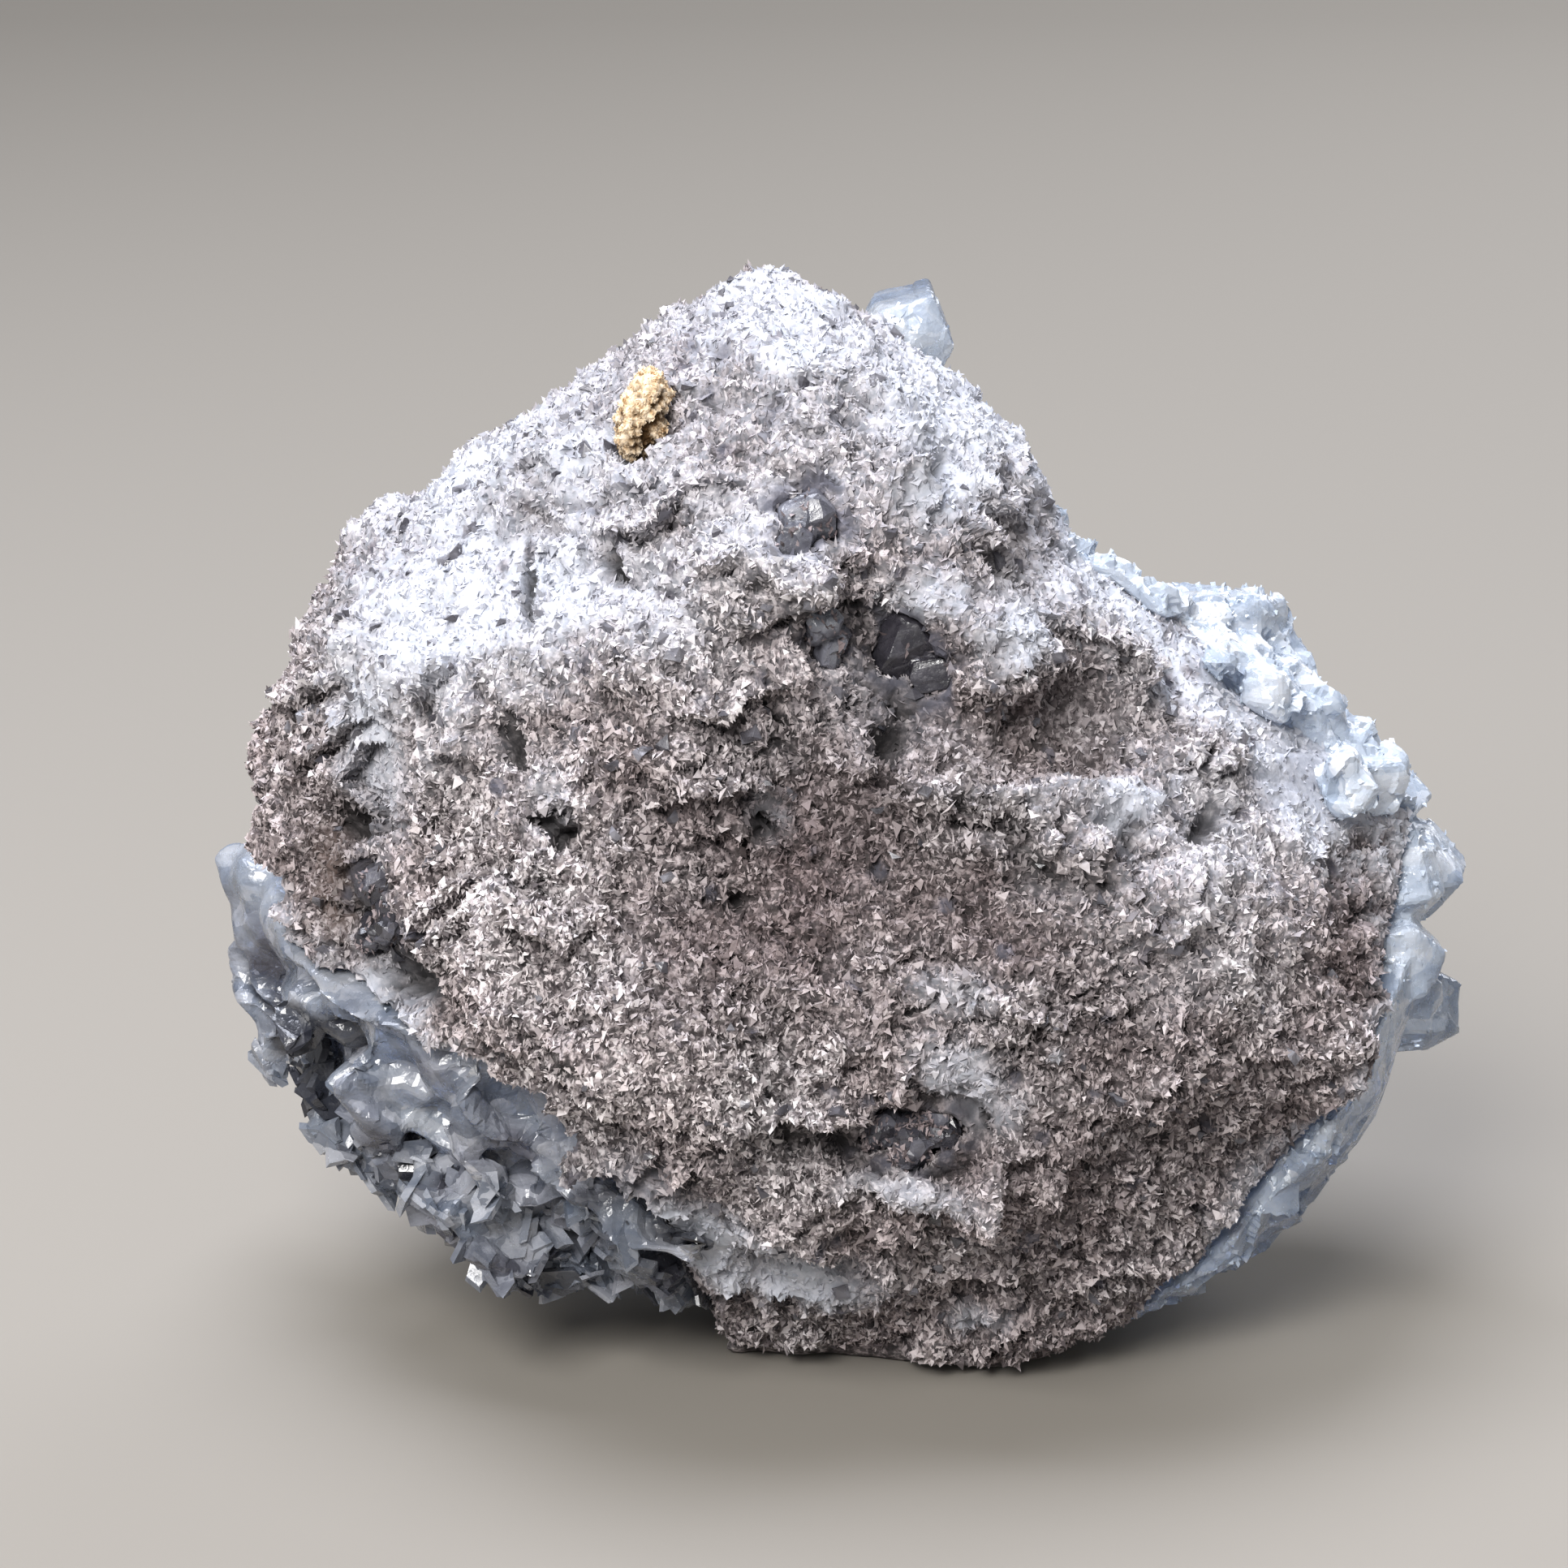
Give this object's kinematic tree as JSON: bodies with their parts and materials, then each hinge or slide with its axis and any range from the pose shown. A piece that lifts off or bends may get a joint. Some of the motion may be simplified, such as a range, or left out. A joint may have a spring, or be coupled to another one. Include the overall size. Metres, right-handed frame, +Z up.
{
  "type": "celestite crystal cluster",
  "caption": "Celestite cluster: a rough lump of pale host rock whose far side is covered with a crust of blocky pale blue crystals.",
  "frame": {"origin": "under the middle of the whole cluster, on the surface it rests on", "axes": "+Z up, +X to the right as seen facing the rough rock side, which faces -Y; the crystals face +Y"},
  "size_m": [0.0806, 0.0504, 0.0671],
  "materials": {
    "matrix": "matte",
    "celestite": "gloss",
    "pocket_crystal": "satin",
    "clay": "matte"
  },
  "bodies": {
    "root": {"matrix_rock": "matrix", "celestite_crust": "celestite", "pocket_crystal_upper": "pocket_crystal", "pocket_slab": "pocket_crystal", "pocket_cluster_middle": "pocket_crystal", "pocket_cluster_left": "pocket_crystal", "pocket_cluster_bottom": "pocket_crystal", "clay_nodule": "clay"}
  },
  "joints": []
}
